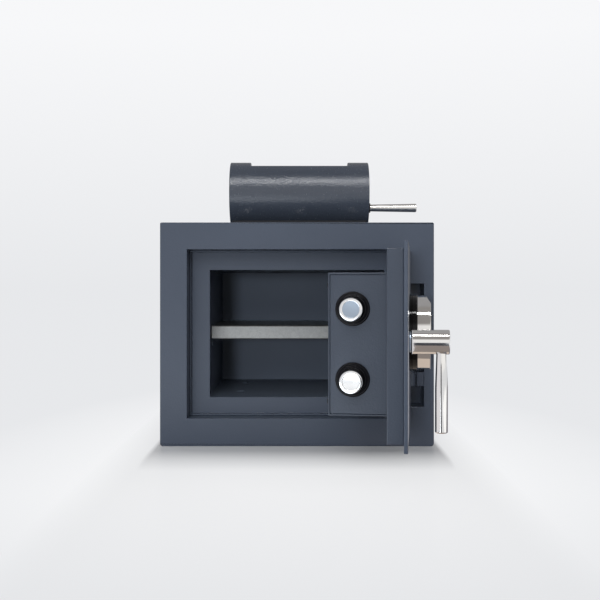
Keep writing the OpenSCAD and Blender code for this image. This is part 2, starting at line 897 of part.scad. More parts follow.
// Pan-head screws that hold the cover to the ends of the box
module cover_screws() {
    color(dark)
        on_door()
            for (x = [box_x1 + 12, box_x0 - 12], z = [box_z0 + 14, box_z1 - 14])
                translate([x, box_y1, z])
                    rotate([-90, 0, 0])
                        rotate_extrude()
                            polygon([[0, 0], [3.6, 0], [3.6, 0.8], [2.8, 1.8], [1.4, 2.1], [1.4, 1], [0, 1]]);
}

// Black guide collars in which the bolts slide
module bolt_collars() {
    proud = 2.6;
    color(dark)
        on_door()
            for (z = [bolt_low_z, bolt_high_z])
                translate([box_x1 - proud, bolt_y, z])
                    rotate([0, 90, 0])
                        rotate_extrude()
                            polygon([[bolt_d / 2 + run_gap, 0.8], [bolt_d / 2 + 1.2, 0], [collar_d / 2 - 0.8, 0],
                                     [collar_d / 2, 0.8], [collar_d / 2, proud],
                                     [bolt_d / 2 + 2.5, proud], [bolt_d / 2 + 2.5, proud + box_sheet],
                                     [bolt_d / 2 + run_gap, proud + box_sheet]]);
}

// Inner guide plate for the tails of the bolts, with a window for the bar
module bolt_guide() {
    z0 = box_z0 + box_sheet + 1;
    z1 = box_z1 - box_sheet - 1;
    foot = [10, 12];
    rim = 5;
    color(zinc)
        on_door()
            difference() {
                union() {
                    block([guide_x, pan_y, z0], [guide_x + guide_t, bolt_y + bolt_d / 2 + rim, z1]);
                    block([guide_x - foot.x, pan_y, z0], [guide_x, pan_y + guide_t, z0 + foot.y]);
                    block([guide_x - foot.x, pan_y, z1 - foot.y], [guide_x, pan_y + guide_t, z1]);
                }
                block([guide_x - 1, pan_y - 1, bar_z0 - 1],
                      [guide_x + guide_t + 1, bar_y + bar_t + 1, bar_z1 + 1]);
                for (z = [bolt_low_z, bolt_high_z])
                    round_x(bolt_y, z, guide_x - 1, guide_x + guide_t + 1, bolt_d / 2 + run_gap);
            }
}

// Case of the electronic lock, with the well of its bolt
module lock_body() {
    color(zinc)
        on_door()
            difference() {
                block([lock_x1, pan_y, lock_z0], [lock_x0, lock_bolt_y + lock_bolt_t / 2 + 5, lock_z1]);
                block([lock_bolt_x - lock_bolt_w / 2 - free_gap, lock_bolt_y - lock_bolt_t / 2 - free_gap, lock_z0 + 1],
                      [lock_bolt_x + lock_bolt_w / 2 + free_gap, lock_bolt_y + lock_bolt_t / 2 + free_gap, lock_z1 + 1]);
            }
}

// Cable from the keypad through the door and down to the lock
module lock_cable() {
    end_y = pan_y + cable_bend;
    color(dark)
        on_door() {
            round_y(keypad_x, keypad_z, keypad_base_y - 3, pan_y, cable_d / 2);
            translate([keypad_x, pan_y, keypad_z - cable_bend])
                rotate([90, 0, 90])
                    rotate_extrude(angle = 90)
                        translate([cable_bend, 0])
                            circle(d = cable_d);
            translate([keypad_x, end_y, lock_z1])
                cylinder(h = keypad_z - cable_bend - lock_z1, d = cable_d);
        }
}

// Black base of the keypad on the door's outer face
module keypad_base() {
    edge = 1.2;
    color(dark)
        on_door()
            translate([keypad_x, face_y, keypad_z])
                rotate([90, 0, 0])
                    rotate_extrude()
                        polygon([[cable_d, 0], [keypad_base_d / 2, 0], [keypad_base_d / 2, keypad_base_t - edge],
                                 [keypad_base_d / 2 - edge, keypad_base_t], [cable_d, keypad_base_t]]);
}

// Chrome housing of the keypad, hollow, with a slanted cut along its upper edge
module keypad_housing() {
    edge = 1.5;
    recess = panel_t + panel_in;
    seat = 1;
    color(bright)
        on_door()
            translate([keypad_x, keypad_base_y, keypad_z])
                difference() {
                    rotate([90, 0, 0])
                        rotate_extrude()
                            polygon([[panel_d / 2 + 0.1, keypad_t], [panel_d / 2 + 0.1, keypad_t - recess],
                                     [panel_d / 2 - seat, keypad_t - recess], [panel_d / 2 - seat, keypad_t - recess - 2],
                                     [keypad_d / 2 - keypad_wall - 3, keypad_t - recess - 2],
                                     [keypad_d / 2 - keypad_wall, keypad_t - recess - 6],
                                     [keypad_d / 2 - keypad_wall, 0], [keypad_d / 2, 0],
                                     [keypad_d / 2, keypad_t - edge], [keypad_d / 2 - edge, keypad_t]]);
                    translate([-keypad_d / 2 - 1, 0, 0])
                        rotate([90, 0, 90])
                            linear_extrude(height = keypad_d + 2)
                                polygon([[-keypad_t - 1, keypad_d / 2 - keypad_cut_down - keypad_cut_down / keypad_cut_in],
                                         [-keypad_t - 1, keypad_d / 2 + 2],
                                         [-keypad_t + keypad_cut_in + 2 * keypad_cut_in / keypad_cut_down,
                                          keypad_d / 2 + 2]]);
                }
}

// The middle of one key; columns run left to right and rows top to bottom
function key_place(column, row) =
    [keypad_x + (column - 1) * key_pitch_x, panel_y, keypad_z + (1.5 - row) * key_pitch_z];

// Black panel with an opening for every key
module keypad_panel() {
    window = 0.4;
    color(dark)
        on_door()
            difference() {
                round_y(keypad_x, keypad_z, panel_y, panel_y + panel_t, panel_d / 2);
                for (column = [0:2], row = [0:3])
                    translate(key_place(column, row))
                        block([-key_w / 2 - window, -1, -key_h / 2 - window],
                              [key_w / 2 + window, panel_t + 1, key_h / 2 + window]);
            }
}

// One rubber key with a flange behind the panel
module key(column, row) {
    flange = 0.5;
    color(dark)
        on_door()
            translate(key_place(column, row)) {
                block([-key_w / 2, -key_rise, -key_h / 2], [key_w / 2, panel_t + 0.3, key_h / 2]);
                block([-key_w / 2 - flange, panel_t + 0.3, -key_h / 2 - flange],
                      [key_w / 2 + flange, panel_t + 1.3, key_h / 2 + flange]);
            }
}

// Collar between the door and the handle's hub
module handle_rosette() {
    color(bright)
        on_door()
            difference() {
                round_y(handle_x, handle_z, face_y - rosette_t, face_y, rosette_d / 2);
                round_y(handle_x, handle_z, face_y - rosette_t - 1, face_y + 1, spindle_d / 2 + run_gap);
            }
}

// Bush that carries the spindle through the door
module spindle_bush() {
    color(zinc)
        on_door()
            difference() {
                round_y(handle_x, handle_z, face_y, pan_y + 3, spindle_d / 2 + 3);
                round_y(handle_x, handle_z, face_y - 1, pan_y + 4, spindle_d / 2 + run_gap);
            }
}

// Round chrome hub of the handle
module handle_hub() {
    back_y = face_y - rosette_t - 0.3;
    edge = 1;
    color(bright)
        on_door()
            difference() {
                translate([handle_x, back_y, handle_z])
                    rotate([90, 0, 0])
                        rotate_extrude()
                            polygon([[0, 0], [hub_d / 2 - edge, 0], [hub_d / 2, edge],
                                     [hub_d / 2, hub_len - edge], [hub_d / 2 - edge, hub_len], [0, hub_len]]);
                round_y(handle_x, handle_z, back_y - 14, back_y + 1, spindle_d / 2);
                translate([handle_x, face_y - lever_out, handle_z - hub_d])
                    cylinder(h = hub_d, r = 4);
            }
}

// Tapered chrome lever, with a stem in the hub
module handle_lever() {
    tip_round = 1.2;
    root_z = hub_d / 2 - 2;
    color(bright)
        on_door()
            difference() {
                translate([handle_x, face_y - lever_out, handle_z])
                    rotate([180, 0, 0]) {
                        cylinder(h = root_z, r = 4);
                        translate([0, 0, root_z])
                            cylinder(h = lever_taper, d1 = lever_root_d, d2 = lever_tip_d);
                        translate([0, 0, root_z + lever_taper])
                            cylinder(h = lever_len - root_z - lever_taper - tip_round, d = lever_tip_d);
                        translate([0, 0, lever_len - tip_round])
                            cylinder(h = tip_round, d1 = lever_tip_d, d2 = lever_tip_d - 2 * tip_round);
                    }
                difference() {
                    round_y(handle_x, handle_z, face_y - lever_out - 10, face_y - lever_out + 10, hub_d / 2);
                    translate([handle_x, face_y - lever_out, handle_z - hub_d])
                        cylinder(h = hub_d, r = 4);
                }
            }
}

// Spindle from the hub to the cam
module handle_spindle() {
    hub_back = face_y - rosette_t - 0.3;
    color(zinc)
        on_door()
            round_y(handle_x, handle_z, hub_back - 14, cam_y + cam_t, spindle_d / 2);
}

// Cam arm on the spindle, whose crank pin drives the bolt bar
module handle_cam() {
    arm_w = 12;
    boss_r = 7;
    pin_x = handle_x + crank_r * sin(45);
    pin_z = handle_z - crank_r * cos(45);
    color(zinc)
        on_door()
            union() {
                translate([handle_x, cam_y + cam_t, handle_z])
                    rotate([90, 0, 0])
                        linear_extrude(height = cam_t)
                            difference() {
                                union() {
                                    circle(r = spindle_d / 2 + 5);
                                    rotate(45) {
                                        translate([-arm_w / 2, -crank_r])
                                            square([arm_w, crank_r]);
                                        translate([0, -crank_r])
                                            circle(r = boss_r);
                                    }
                                }
                                circle(d = spindle_d);
                            }
                round_y(pin_x, pin_z, cam_y + cam_t / 2, bar_y + bar_t + 2, crank_pin_d / 2);
            }
}

// Sliding bar that joins the two bolts, with the crank pin's slot and the lock's notches
module bolt_bar() {
    pin_x = handle_x + crank_r * sin(45);
    slot_z0 = handle_z - crank_r - crank_pin_d / 2 - 0.5;
    slot_z1 = handle_z - crank_r * cos(45) + crank_pin_d / 2 + 0.5;
    notch_half = lock_bolt_w / 2 + free_gap;
    notch_z1 = lock_z1 + lock_bolt_up + lock_travel + 2;
    color(zinc)
        on_door()
            difference() {
                union() {
                    block([bar_x1, bar_y, bar_z0], [bar_x0, bar_y + bar_t, bar_z1]);
                    for (z = [bolt_low_z, bolt_high_z])
                        block([bolt_tail_x, bar_y, z - 10], [bolt_tail_x + ear_t, bolt_y + 10, z + 10]);
                }
                block([pin_x - slot_w / 2, bar_y - 1, slot_z0], [pin_x + slot_w / 2, bar_y + bar_t + 1, slot_z1]);
                for (x = [lock_bolt_x, lock_bolt_x + bolt_throw])
                    block([x - notch_half, bar_y - 1, bar_z0 - 1], [x + notch_half, bar_y + bar_t + 1, notch_z1]);
                for (z = [bolt_low_z, bolt_high_z])
                    round_x(bolt_y, z, bolt_tail_x - 1, bolt_tail_x + ear_t + 1, 4);
            }
}

// Round chrome bolt with a dished end face and a stud through the bar's ear
module locking_bolt(z) {
    edge = 1.2;
    color(bright)
        on_door()
            translate([bolt_tip_x, bolt_y, z])
                rotate([0, 90, 0])
                    rotate_extrude()
                        polygon([[0, 0.5], [bolt_d / 2 - 2 * edge, 0.5], [bolt_d / 2 - 2 * edge, 0],
                                 [bolt_d / 2 - edge, 0], [bolt_d / 2, edge], [bolt_d / 2, bolt_len], [4, bolt_len],
                                 [4, bolt_len + ear_t + 3], [0, bolt_len + ear_t + 3]]);
}

// Upper bolt
module bolt_upper() {
    locking_bolt(bolt_high_z);
}

// Lower bolt
module bolt_lower() {
    locking_bolt(bolt_low_z);
}

// Bolt of the electronic lock, which rises into a notch of the bar
module lock_bolt() {
    color(bright)
        on_door()
            block([lock_bolt_x - lock_bolt_w / 2, lock_bolt_y - lock_bolt_t / 2, lock_z0 + 1.5],
                  [lock_bolt_x + lock_bolt_w / 2, lock_bolt_y + lock_bolt_t / 2, lock_z1 + lock_bolt_up]);
}

body_shell();
front_frame();
stop_frame();
inner_liner();
wall_fill();
shelf();
shelf_supports();
chute_liner();
chute_baffles();
hopper_housing();
hopper_end_left();
hopper_end_right();
hopper_saddle();
hopper_bolts();
drum_pivots();
hinge_knuckle_lower();
hinge_knuckle_upper();
hinge_pin();
drum_shell();
drum_end_left();
drum_end_right();
drum_rod();
drum_rod_nut();
door_plate();
door_pan();
door_fill();
hinge_knuckle_door();
bolt_box();
bolt_box_cover();
cover_screws();
bolt_collars();
bolt_guide();
lock_body();
lock_cable();
keypad_base();
keypad_housing();
keypad_panel();
handle_rosette();
spindle_bush();
handle_hub();
handle_lever();
handle_spindle();
handle_cam();
bolt_bar();
bolt_upper();
bolt_lower();
lock_bolt();
key(0, 0);  // key_1
key(1, 0);  // key_2
key(2, 0);  // key_3
key(0, 1);  // key_4
key(1, 1);  // key_5
key(2, 1);  // key_6
key(0, 2);  // key_7
key(1, 2);  // key_8
key(2, 2);  // key_9
key(0, 3);  // key_left
key(1, 3);  // key_0
key(2, 3);  // key_right
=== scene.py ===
import json
import math

import bmesh
import bpy
from mathutils import Matrix, Vector


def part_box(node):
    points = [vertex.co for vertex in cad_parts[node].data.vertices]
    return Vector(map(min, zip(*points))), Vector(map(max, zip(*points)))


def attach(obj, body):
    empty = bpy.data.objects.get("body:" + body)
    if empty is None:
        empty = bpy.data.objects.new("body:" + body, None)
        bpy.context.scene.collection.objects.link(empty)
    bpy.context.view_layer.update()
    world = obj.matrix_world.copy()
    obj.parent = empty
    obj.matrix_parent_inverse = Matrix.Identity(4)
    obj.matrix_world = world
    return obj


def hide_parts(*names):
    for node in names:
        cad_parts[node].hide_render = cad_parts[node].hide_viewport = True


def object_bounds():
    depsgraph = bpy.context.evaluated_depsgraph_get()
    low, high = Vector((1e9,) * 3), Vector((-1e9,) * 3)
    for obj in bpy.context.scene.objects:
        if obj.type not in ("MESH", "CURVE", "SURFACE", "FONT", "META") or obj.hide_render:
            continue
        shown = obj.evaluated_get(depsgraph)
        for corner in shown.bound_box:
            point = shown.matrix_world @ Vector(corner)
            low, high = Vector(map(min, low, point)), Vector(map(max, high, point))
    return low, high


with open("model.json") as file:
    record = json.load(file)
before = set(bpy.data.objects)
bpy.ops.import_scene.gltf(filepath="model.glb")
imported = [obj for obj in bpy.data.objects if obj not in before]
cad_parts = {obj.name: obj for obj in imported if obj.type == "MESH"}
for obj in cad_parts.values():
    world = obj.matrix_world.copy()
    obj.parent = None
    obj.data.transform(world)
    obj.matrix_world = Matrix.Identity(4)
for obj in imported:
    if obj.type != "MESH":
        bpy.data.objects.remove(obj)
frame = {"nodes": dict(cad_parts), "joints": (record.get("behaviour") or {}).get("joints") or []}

MM = 0.001
cad_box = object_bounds()

# The place of the photograph's camera: level, square to the front and a little below the roof's height.
# Its distance and its height come from the perspective of the open door.
front_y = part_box("front_frame")[0].y
CAMERA_RIGHT = 3.9 * MM
CAMERA_BACK = 1265 * MM
CAMERA_UP = 205.3 * MM
FOCAL_PIXELS = 976.6
FRAME_PIXELS = 600
HORIZON_RISE = 12.2

camera_data = bpy.data.cameras.new("camera")
camera_data.lens = camera_data.sensor_width * FOCAL_PIXELS / FRAME_PIXELS
camera_data.shift_y = -HORIZON_RISE / FRAME_PIXELS
camera = bpy.data.objects.new("camera", camera_data)
bpy.context.scene.collection.objects.link(camera)
camera.location = (CAMERA_RIGHT, front_y - CAMERA_BACK, CAMERA_UP)
camera.rotation_euler = (math.radians(90), 0, 0)
bpy.context.scene.camera = camera
bpy.context.scene.view_settings.view_transform = "Standard"


# The studio: the camera sees a pale backdrop. Polished metal mirrors pale walls low down and a grey room above them.
# A small lamp far behind the camera reaches into the safe, and soft ones light the front and the roof.
# A strip shines in the gloss alone, along the top of the hopper.
class Wire:
    """A value that runs through a material's nodes and takes part in sums as a number does."""

    def __init__(self, tree, socket=None):
        self.tree = tree
        self.socket = socket

    def node(self, kind, inputs=(), out=0, stops=(), **settings):
        made = self.tree.nodes.new("ShaderNode" + kind)
        for name, value in settings.items():
            setattr(made, name, value)
        for place, (position, colour) in enumerate(stops):
            ramp = made.color_ramp.elements
            stop = ramp[place] if place < 2 else ramp.new(position)
            stop.position = position
            stop.color = (*colour, 1)
        for key, value in dict(inputs).items():
            if isinstance(value, Wire):
                self.tree.links.new(value.socket, made.inputs[key])
            else:
                made.inputs[key].default_value = value
        return Wire(self.tree, made.outputs[out])

    def math(self, operation, first, second=0.0):
        return self.node("Math", {0: first, 1: second}, operation=operation)

    def __add__(self, other):
        return self.math("ADD", self, other)

    def __sub__(self, other):
        return self.math("SUBTRACT", self, other)

    def __mul__(self, other):
        return self.math("MULTIPLY", self, other)

    def clamped(self):
        return self.node("Clamp", {"Value": self})

    def blend(self, first, second):
        """The first colour where this value is 0, the second where it is 1."""
        return self.node("Mix", {0: self, 6: first, 7: second}, out=2, data_type="RGBA")


BACKDROP_LOW = (0.80, 0.81, 0.83)
BACKDROP_HIGH = (0.93, 0.935, 0.95)
ROOM = (0.31, 0.295, 0.285)
ROOM_LIGHT = (0.42, 0.425, 0.435)
ROOM_BEHIND = (0.36, 0.355, 0.36)
RIGHT_WALL = (1.0, 0.985, 0.97)
LEFT_WALL = (0.72, 0.71, 0.73)
WALL_TURN, WALL_START = 1.6, 0.95
CEILING_AT, CEILING_EDGE = 0.38, 8
BEHIND_EDGE = 5
BACKDROP_RISE = 0.25

world = bpy.data.worlds.new("studio")
bpy.context.scene.world = world
world.use_nodes = True
sky = Wire(world.node_tree)
way = sky.node("SeparateXYZ", {0: sky.node("TexCoord", out="Generated")}, out="X")
rise = Wire(world.node_tree, way.socket.node.outputs["Z"])
back = Wire(world.node_tree, way.socket.node.outputs["Y"])
rays = sky.node("LightPath", out="Is Camera Ray").socket.node.outputs
in_view = (Wire(world.node_tree, rays["Is Camera Ray"]) + Wire(world.node_tree, rays["Is Transmission Ray"])).clamped()
mirrored = Wire(world.node_tree, rays["Is Glossy Ray"])
backdrop = sky.node("ValToRGB", {"Fac": rise}, stops=[(0.0, BACKDROP_LOW), (BACKDROP_RISE, BACKDROP_HIGH)])
wall = (way * WALL_TURN + WALL_START).clamped().blend((*LEFT_WALL, 1), (*RIGHT_WALL, 1))
front_room = ((rise - CEILING_AT) * CEILING_EDGE).clamped().blend(wall, (*ROOM, 1))
mirror_room = (back * BEHIND_EDGE + 0.5).clamped().blend(front_room, (*ROOM_BEHIND, 1))
room_tone = in_view.blend(mirrored.blend((*ROOM_LIGHT, 1), mirror_room), backdrop)
world.node_tree.links.new(room_tone.socket, world.node_tree.nodes["Background"].inputs["Color"])
world.node_tree.nodes["Background"].inputs["Strength"].default_value = 1.0


def lamp(name, place, aim, width, height, power, gloss_only=False):
    """A soft rectangular lamp. It either lights the pieces or only shines in their gloss."""
    data = bpy.data.lights.new(name, "AREA")
    data.shape = "RECTANGLE"
    data.size = width
    data.size_y = height
    data.energy = power
    made = bpy.data.objects.new(name, data)
    bpy.context.scene.collection.objects.link(made)
    made.location = place
    made.rotation_euler = (Vector(aim) - Vector(place)).to_track_quat("-Z", "Y").to_euler()
    made.visible_camera = False
    made.visible_glossy = gloss_only
    made.visible_diffuse = not gloss_only


# Each with its place, the point that it is aimed at, its width and height in metres, and its power in watts.
lamp("key_lamp", (-0.333, -3.06, 0.27), (0, -0.18, 0.15), 0.25, 0.25, 22.5)
lamp("front_lamp", (-0.25, -2.0, 1.0), (0, -0.18, 0.2), 1.0, 0.8, 9.5)
lamp("overhead_lamp", (0, -0.5, 2.6), (0, -0.3, 0), 2.6, 2.0, 7)
lamp("strip_lamp", (0.1, -0.72, 0.95), (0.1, -0.2, 0.3), 1.5, 0.08, 8, gloss_only=True)


def new_object(name, mesh):
    made = bpy.data.objects.new(name, mesh)
    bpy.context.scene.collection.objects.link(made)
    return made


def finish(name, **constants):
    """A new material with its main shader's fixed values set, and a wire to build the rest with."""
    made = bpy.data.materials.new(name)
    made.use_nodes = True
    shader = made.node_tree.nodes["Principled BSDF"]
    for socket, value in constants.items():
        shader.inputs[socket.replace("_", " ")].default_value = value
    return made, shader, Wire(made.node_tree)


def connect(shader, **wires):
    for socket, wire in wires.items():
        shader.id_data.links.new(wire.socket, shader.inputs[socket.replace("_", " ")])


def grain(wire, scale, detail=2.0, stretch=(1, 1, 1)):
    """Soft noise over a piece, with about scale lumps in a metre."""
    place = wire.node("Mapping", {"Vector": wire.node("TexCoord", out="Object"), "Scale": stretch})
    return wire.node("TexNoise", {"Vector": place, "Scale": scale, "Detail": detail}, out="Fac")


def relief(wire, lumps, depth):
    """A bump of that depth in metres."""
    return wire.node("Bump", {"Height": lumps, "Distance": depth, "Strength": 1.0})


# The table: a pale satin sheet. Near the safe it takes the shadow, and further off it glows as the backdrop does.
TABLE_SIZE = 14.0
SHADED_BOUNCE = (0.03, 0.03, 0.03, 1)
OPEN_BOUNCE = (0.45, 0.45, 0.46, 1)
NEAR_GLOW = (0.96, 0.965, 0.975, 1)
SIDE_PULL = 18
BOUNCE_RISE = 1.6
GLOW_MIDDLE, FORWARD_PULL = -0.4, 0.4
GLOW_RISE, GLOW_START = 2.6, -0.2
SHADOW_HOLD = [(0.0, 0.06), (0.035, 0.04), (0.10, 0.44), (0.17, 0.78), (1.0, 1.0)]

table_paint, shader, wire = finish("table_paint", Specular_IOR_Level=0.12)
rays = wire.node("LightPath", out="Is Camera Ray").socket.node.outputs
in_sight = (Wire(wire.tree, rays["Is Camera Ray"]) + Wire(wire.tree, rays["Is Glossy Ray"])
            + Wire(wire.tree, rays["Is Transmission Ray"])).clamped()
near_tone = grain(wire, 1.4, 3).blend((0.80, 0.805, 0.815, 1), (0.84, 0.845, 0.855, 1))
spot_x = wire.node("SeparateXYZ", {0: wire.node("TexCoord", out="Object")}, out="X")
spot_y = Wire(wire.tree, spot_x.socket.node.outputs["Y"])
past_x = wire.math("MAXIMUM", wire.math("ABSOLUTE", spot_x) - cad_box[1].x, 0.0) * SIDE_PULL
past_y = wire.math("MAXIMUM", wire.math("ABSOLUTE", spot_y) + front_y, 0.0)
from_safe = wire.math("SQRT", past_x * past_x + past_y * past_y)
# For bounced light the table's colour is dark near the safe and paler further off: a painted shade around its foot.
bounce_painted_shade = (from_safe * BOUNCE_RISE).clamped().blend(SHADED_BOUNCE, OPEN_BOUNCE)
connect(shader, Base_Color=in_sight.blend(bounce_painted_shade, near_tone), Roughness=grain(wire, 4.0) * 0.08 + 0.2)
glow_part = wire.node("ValToRGB", {"Fac": from_safe}, stops=[(place, (part,) * 3) for place, part in SHADOW_HOLD])
in_front = spot_y - GLOW_MIDDLE
beyond = wire.math("MAXIMUM", in_front * FORWARD_PULL, in_front * -1.0)
from_middle = wire.math("SQRT", spot_x * spot_x + beyond * beyond)
glow = (from_middle * GLOW_RISE + GLOW_START).clamped().blend(NEAR_GLOW, (*BACKDROP_LOW, 1))
faded = wire.node("MixShader", {0: in_sight * glow_part, 1: Wire(wire.tree, shader.outputs[0]),
                                2: wire.node("Emission", {"Color": glow, "Strength": 1.0})})
wire.tree.links.new(faded.socket, wire.tree.nodes["Material Output"].inputs["Surface"])


def flat_sheet(name, corners, paint, only_mirrored=False):
    """A flat sheet that belongs to the studio. A card shows in reflections alone."""
    mesh = bpy.data.meshes.new(name)
    mesh.from_pydata([Vector(corner) for corner in corners], [], [tuple(range(len(corners)))])
    mesh.materials.append(paint)
    sheet = new_object(name, mesh)
    if only_mirrored:
        sheet.visible_camera = sheet.visible_diffuse = sheet.visible_shadow = False


def level(x0, x1, y0, y1, z=0.0):
    """The corners of a level rectangle."""
    return [(x0, y0, z), (x1, y0, z), (x1, y1, z), (x0, y1, z)]


half = TABLE_SIZE / 2
flat_sheet("table", level(-half, half, -half, half), table_paint)


def card_paint(name, colour, strength=1.0):
    """An even card. It is clear from below, so the table doesn't mirror it."""
    card, shader, wire = finish(name, Base_Color=(0, 0, 0, 1), Specular_IOR_Level=0.0,
                                Emission_Color=(*colour, 1), Emission_Strength=strength)
    one_sided = wire.node("MixShader", {0: wire.node("NewGeometry", out="Backfacing"),
                                        1: Wire(wire.tree, shader.outputs[0]), 2: wire.node("BsdfTransparent")})
    wire.tree.links.new(one_sided.socket, wire.tree.nodes["Material Output"].inputs["Surface"])
    return card


# Cards lie on the table for the gloss to mirror: tan and brown ones under the handle with a slate one beyond them,
# bright ones in front and to the left and right, and a dark one behind the lever for its right-hand edge.
# A dark post stands by the handle and makes the thin line down the middle of the lever.
LIFT = 1 * MM
TAN_FROM, TAN_TO, BROWN_TO, SLATE_TO = front_y - 0.01, -0.34, -0.62, -0.86
CARDS_LEFT, SLATE_RIGHT, CARDS_RIGHT = 0.07, 0.17, 0.30
CARDS = {
    "tan_card": ((0.68, 0.57, 0.49), 1.0, level(CARDS_LEFT, CARDS_RIGHT, TAN_TO, TAN_FROM, LIFT)),
    "brown_card": ((0.29, 0.25, 0.23), 1.0, level(CARDS_LEFT, CARDS_RIGHT, BROWN_TO, TAN_TO, LIFT)),
    "slate_card": ((0.16, 0.18, 0.20), 1.0, level(CARDS_LEFT, SLATE_RIGHT, SLATE_TO, BROWN_TO, LIFT)),
    "left_card": ((1, 1, 1), 1.2, level(-0.45, -0.10, -2.6, -1.6, LIFT)),
    "low_card": ((0.9, 0.95, 1), 3.2, level(-0.6, 0.04, -1.25, -0.5, LIFT)),
    "edge_card": ((0.22, 0.21, 0.23), 1.0,
                  [(0.19, -0.44, 2 * LIFT), (1.2, -0.25, 2 * LIFT), (1.2, 1.2, 2 * LIFT), (0.19, 1.2, 2 * LIFT)]),
    "right_card": ((1, 1, 1), 1.15, level(0.38, 1.3, -1.1, 0.1, LIFT)),
}
for card, (colour, strength, corners) in CARDS.items():
    flat_sheet(card, corners, card_paint(card, colour, strength), only_mirrored=True)

POST_LEFT, POST_RIGHT, POST_AT, POST_TALL = 0.055, 0.145, -0.62, 0.125
flat_sheet("dark_post", [(POST_RIGHT, POST_AT, 0), (POST_LEFT, POST_AT, 0),
                         (POST_LEFT, POST_AT, POST_TALL), (POST_RIGHT, POST_AT, POST_TALL)],
           card_paint("dark_felt", (0.07, 0.07, 0.08)), only_mirrored=True)


# Powder coat: slate-grey polyester baked on steel, semi-gloss, with the orange-peel skin of such paint.
# It covers the body, the frames, the door, the hopper and the drum. Darker copies on the hopper, the door's pan and
# bolt box and the near-black cradle are painted shade, and a paler copy inside the body and the chute is painted
# light.
def powder_coat(name, colour, roughness, peel_depth, gloss=0.3, sparkle=0.0):
    """Baked paint with a fine peel, faint clouds of tone, and a sparkle where its lumps differ in gloss."""
    paint, shader, wire = finish(name, Specular_IOR_Level=gloss)
    clouds = grain(wire, 7.0, 3)
    fine = grain(wire, 1300.0, 1)
    lumps = grain(wire, 420.0, 2)
    peel = lumps + fine * 0.35
    paler = tuple(min(1, c * 1.16 + 0.004) for c in colour) + (1,)
    darker = tuple(c * 0.9 for c in colour) + (1,)
    tone = (clouds * 0.7 + fine * 0.3).clamped()
    connect(shader, Base_Color=tone.blend(darker, paler),
            Roughness=(clouds - 0.5) * 0.10 + (lumps - 0.5) * sparkle + roughness,
            Normal=relief(wire, peel, peel_depth))
    return paint


SLATE = (0.069, 0.087, 0.123)
INNER_LIT_SLATE = (0.105, 0.130, 0.175)
HOPPER_SHADE, DOOR_SHADE = 0.68, 0.74
coat = powder_coat("slate_coat", SLATE, 0.3, 0.17 * MM)
# The cradle's near-black is painted shade under the hopper's tube.
painted_shade_cradle_coat = powder_coat("painted_shade_cradle_coat", (0.012, 0.014, 0.019), 0.5, 0.05 * MM)
# The hopper's tube and end plates get a darker copy of the slate, as painted shade.
hopper_shaded_coat = powder_coat("hopper_painted_shade_coat", tuple(part * HOPPER_SHADE for part in SLATE), 0.20, 0.4 * MM,
                          gloss=0.6, sparkle=0.42)
# The door's pan and bolt box get a darker copy of the slate, as painted shade.
door_shaded_coat = powder_coat("door_painted_shade_coat", tuple(part * DOOR_SHADE for part in SLATE), 0.31, 0.2 * MM)
# The inside of the body, its shelf brackets and the chute get a paler copy of the slate, as painted light.
inner_lit_coat = powder_coat("inner_painted_light_coat", INNER_LIT_SLATE, 0.46, 0.05 * MM)


def flat_shaded(made):
    """Keeps the shading of the large faces true beside their small rolled edges."""
    flat = made.modifiers.new("flat", "WEIGHTED_NORMAL")
    flat.keep_sharp = True
    return made


def soft_edges(made, edge, steps=3):
    """Rolls the sharp edges of a piece to that radius."""
    bevel = made.modifiers.new("edge", "BEVEL")
    bevel.width = edge
    bevel.segments = steps
    bevel.limit_method = "ANGLE"
    bevel.angle_limit = math.radians(30)
    bevel.use_clamp_overlap = False
    return flat_shaded(made)


def stand_for(made, node, body):
    """The piece takes the node's place on its body, and the node is hidden."""
    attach(made, body)
    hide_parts(node)
    return made


def piece_of(name, shape, paint):
    """A finished piece from the mesh that is being worked on."""
    bmesh.ops.recalc_face_normals(shape, faces=shape.faces)
    for face in shape.faces:
        face.smooth = True
    mesh = bpy.data.meshes.new(name)
    shape.to_mesh(mesh)
    shape.free()
    mesh.materials.append(paint)
    return new_object(name, mesh)


def sheet_metal(node, body, paint, edge):
    """The node's own shape with its sharp edges rolled to a radius, as folded and painted sheet has."""
    shape = bmesh.new()
    shape.from_mesh(frame["nodes"][node].data)
    bmesh.ops.remove_doubles(shape, verts=shape.verts, dist=0.002 * MM)
    bmesh.ops.dissolve_limit(shape, angle_limit=math.radians(0.5), verts=shape.verts, edges=shape.edges)
    made = piece_of(node + "_formed", shape, paint)
    return stand_for(soft_edges(made, edge), node, body)


# The body: an outer box and an inner box of folded steel, joined by the front frame and the stop frame
# behind it, welded and then painted. A cast filling lies between them and isn't seen.
OUTER_EDGE = 0.9 * MM
INNER_EDGE = 0.7 * MM

sheet_metal("body_shell", "body", coat, OUTER_EDGE)
sheet_metal("front_frame", "body", coat, OUTER_EDGE)
sheet_metal("stop_frame", "body", coat, INNER_EDGE)
sheet_metal("inner_liner", "body", inner_lit_coat, INNER_EDGE)


def cast_filling(name):
    """Pale cement with sand in it, for the two fillings that only an X-ray would show."""
    cement, shader, wire = finish(name)
    sand = grain(wire, 900.0, 4)
    connect(shader, Base_Color=sand.blend((0.28, 0.26, 0.23, 1), (0.48, 0.46, 0.42, 1)),
            Roughness=sand * 0.1 + 0.85, Normal=relief(wire, sand, 0.4 * MM))
    return cement


def repaint(node, paint):
    """Gives a piece that keeps its exact shape its own finish."""
    mesh = frame["nodes"][node].data
    mesh.materials.clear()
    mesh.materials.append(paint)


cement = cast_filling("cast_cement")
repaint("wall_fill", cement)


